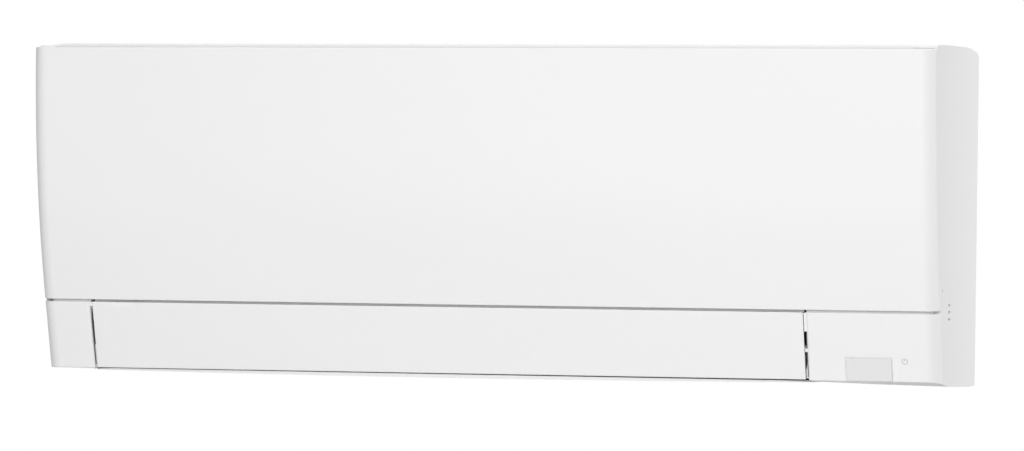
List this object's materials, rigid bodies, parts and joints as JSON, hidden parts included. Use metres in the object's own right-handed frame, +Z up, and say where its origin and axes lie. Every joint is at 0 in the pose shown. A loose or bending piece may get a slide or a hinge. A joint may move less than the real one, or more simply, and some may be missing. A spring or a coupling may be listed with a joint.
{
  "type": "mini split indoor unit",
  "caption": "Wall-hung split air conditioner indoor unit with plain bowed front panel, single outlet vane, coil, cross-flow fan, louvers and wall plate.",
  "frame": {"origin": "middle of the wall plate's back face, on the wall, half way up the unit", "axes": "+X to the viewer's right when facing the front, +Y into the wall, +Z up"},
  "size_m": [0.798, 0.245, 0.3],
  "materials": {
    "galvanised_steel": "galvanised sheet",
    "white_gloss": "glossy white moulding",
    "white_satin": "satin white moulding",
    "white_inner": "plain white moulding",
    "grey_inner": "grey moulding",
    "black_plastic": "glass-filled black moulding",
    "rubber": "soft black rubber",
    "aluminium_fins": "thin aluminium fins",
    "copper_tube": "drawn copper tube",
    "board": "circuit board",
    "filter_net": "net moulding",
    "tinted_window": "milky window",
    "foam": "expanded foam and plastic"
  },
  "bodies": {
    "base": {"wall_plate": "galvanised_steel", "rear_chassis": "grey_inner", "front_casing": "white_satin", "left_corner_cover": "white_gloss", "right_corner_cover": "white_gloss", "display_window": "tinted_window", "display_board": "board", "vane_bush": "white_inner", "vane_motor": "galvanised_steel", "louver_base_left": "grey_inner", "louver_base_right": "grey_inner", "fan_motor": "galvanised_steel", "motor_mount_left": "rubber", "motor_mount_right": "rubber", "motor_bracket": "galvanised_steel", "fan_bearing": "rubber", "bearing_holder": "white_inner", "coil_rear": "aluminium_fins", "coil_upper": "aluminium_fins", "coil_lower": "aluminium_fins", "coil_plate_left": "copper_tube", "coil_plate_right": "copper_tube", "gas_pipe": "copper_tube", "liquid_pipe": "copper_tube", "drain_pan": "foam", "drain_cap": "rubber", "air_filter_left": "filter_net", "air_filter_right": "filter_net", "electrical_box": "white_inner", "electrical_cover": "white_inner", "control_board": "board", "terminal_block": "black_plastic", "coil_sensor": "copper_tube", "room_sensor": "white_inner", "casing_screw_1": "galvanised_steel", "casing_screw_2": "galvanised_steel", "casing_screw_3": "galvanised_steel"},
    "panel": {"front_panel": "white_gloss"},
    "vane": {"horizontal_vane": "white_gloss"},
    "fan": {"cross_flow_fan": "black_plastic", "motor_shaft": "galvanised_steel"},
    "switch": {"manual_switch": "white_inner"},
    "link_left": {"louver_link_left": "grey_inner"},
    "link_right": {"louver_link_right": "grey_inner"},
    "louver_left_1_body": {"louver_left_1": "grey_inner"},
    "louver_left_2_body": {"louver_left_2": "grey_inner"},
    "louver_left_3_body": {"louver_left_3": "grey_inner"},
    "louver_left_4_body": {"louver_left_4": "grey_inner"},
    "louver_left_5_body": {"louver_left_5": "grey_inner"},
    "louver_left_6_body": {"louver_left_6": "grey_inner"},
    "louver_right_1_body": {"louver_right_1": "grey_inner"},
    "louver_right_2_body": {"louver_right_2": "grey_inner"},
    "louver_right_3_body": {"louver_right_3": "grey_inner"},
    "louver_right_4_body": {"louver_right_4": "grey_inner"},
    "louver_right_5_body": {"louver_right_5": "grey_inner"},
    "louver_right_6_body": {"louver_right_6": "grey_inner"}
  },
  "joints": [
    {"name": "front_panel_hinge", "type": "hinge", "parent": "base", "child": "panel", "pos_m": [0, -0.2314, 0.1448], "axis": [-1, 0, 0], "range_deg": [0, 62]},
    {"name": "horizontal_vane_hinge", "type": "hinge", "parent": "base", "child": "vane", "pos_m": [-0.0347, -0.1993, -0.1093], "axis": [-1, 0, 0], "range_deg": [0, 72]},
    {"name": "fan_spin", "type": "hinge", "parent": "base", "child": "fan", "pos_m": [-0.035, -0.108, -0.015], "axis": [1, 0, 0], "continuous": true},
    {"name": "manual_switch_press", "type": "slide", "parent": "base", "child": "switch", "axis": [0, 1, 0], "range_m": [0, 0.0015], "stiffness_N_per_m": 700},
    {"name": "louver_left_1_turn", "type": "hinge", "parent": "base", "child": "louver_left_1_body", "pos_m": [-0.06096, -0.14086, -0.11457], "axis": [0, -0.4291, 0.9033], "range_deg": [-32, 32]},
    {"name": "louver_left_2_turn", "type": "hinge", "parent": "base", "child": "louver_left_2_body", "pos_m": [-0.11349, -0.14086, -0.11457], "axis": [0, -0.4291, 0.9033], "range_deg": [-32, 32]},
    {"name": "louver_left_3_turn", "type": "hinge", "parent": "base", "child": "louver_left_3_body", "pos_m": [-0.16602, -0.14086, -0.11457], "axis": [0, -0.4291, 0.9033], "range_deg": [-32, 32]},
    {"name": "louver_left_4_turn", "type": "hinge", "parent": "base", "child": "louver_left_4_body", "pos_m": [-0.21855, -0.14086, -0.11457], "axis": [0, -0.4291, 0.9033], "range_deg": [-32, 32]},
    {"name": "louver_left_5_turn", "type": "hinge", "parent": "base", "child": "louver_left_5_body", "pos_m": [-0.27108, -0.14086, -0.11457], "axis": [0, -0.4291, 0.9033], "range_deg": [-32, 32]},
    {"name": "louver_left_6_turn", "type": "hinge", "parent": "base", "child": "louver_left_6_body", "pos_m": [-0.32361, -0.14086, -0.11457], "axis": [0, -0.4291, 0.9033], "range_deg": [-32, 32]},
    {"name": "louver_link_left_pivot", "type": "hinge", "parent": "louver_left_1_body", "child": "link_left", "pos_m": [-0.06096, -0.12223, -0.10018], "axis": [0, -0.4291, 0.9033], "range_deg": [-32, 32]},
    {"name": "louver_right_1_turn", "type": "hinge", "parent": "base", "child": "louver_right_1_body", "pos_m": [-0.00844, -0.14086, -0.11457], "axis": [0, -0.4291, 0.9033], "range_deg": [-32, 32]},
    {"name": "louver_right_2_turn", "type": "hinge", "parent": "base", "child": "louver_right_2_body", "pos_m": [0.04409, -0.14086, -0.11457], "axis": [0, -0.4291, 0.9033], "range_deg": [-32, 32]},
    {"name": "louver_right_3_turn", "type": "hinge", "parent": "base", "child": "louver_right_3_body", "pos_m": [0.09662, -0.14086, -0.11457], "axis": [0, -0.4291, 0.9033], "range_deg": [-32, 32]},
    {"name": "louver_right_4_turn", "type": "hinge", "parent": "base", "child": "louver_right_4_body", "pos_m": [0.14915, -0.14086, -0.11457], "axis": [0, -0.4291, 0.9033], "range_deg": [-32, 32]},
    {"name": "louver_right_5_turn", "type": "hinge", "parent": "base", "child": "louver_right_5_body", "pos_m": [0.20168, -0.14086, -0.11457], "axis": [0, -0.4291, 0.9033], "range_deg": [-32, 32]},
    {"name": "louver_right_6_turn", "type": "hinge", "parent": "base", "child": "louver_right_6_body", "pos_m": [0.25421, -0.14086, -0.11457], "axis": [0, -0.4291, 0.9033], "range_deg": [-32, 32]},
    {"name": "louver_link_right_pivot", "type": "hinge", "parent": "louver_right_1_body", "child": "link_right", "pos_m": [-0.00844, -0.12223, -0.10018], "axis": [0, -0.4291, 0.9033], "range_deg": [-32, 32]}
  ],
  "couplings": [
    {"joint": "louver_left_2_turn", "follows": "louver_left_1_turn", "ratio": 1},
    {"joint": "louver_left_3_turn", "follows": "louver_left_1_turn", "ratio": 1},
    {"joint": "louver_left_4_turn", "follows": "louver_left_1_turn", "ratio": 1},
    {"joint": "louver_left_5_turn", "follows": "louver_left_1_turn", "ratio": 1},
    {"joint": "louver_left_6_turn", "follows": "louver_left_1_turn", "ratio": 1},
    {"joint": "louver_link_left_pivot", "follows": "louver_left_1_turn", "ratio": -1},
    {"joint": "louver_right_2_turn", "follows": "louver_right_1_turn", "ratio": 1},
    {"joint": "louver_right_3_turn", "follows": "louver_right_1_turn", "ratio": 1},
    {"joint": "louver_right_4_turn", "follows": "louver_right_1_turn", "ratio": 1},
    {"joint": "louver_right_5_turn", "follows": "louver_right_1_turn", "ratio": 1},
    {"joint": "louver_right_6_turn", "follows": "louver_right_1_turn", "ratio": 1},
    {"joint": "louver_link_right_pivot", "follows": "louver_right_1_turn", "ratio": -1}
  ]
}
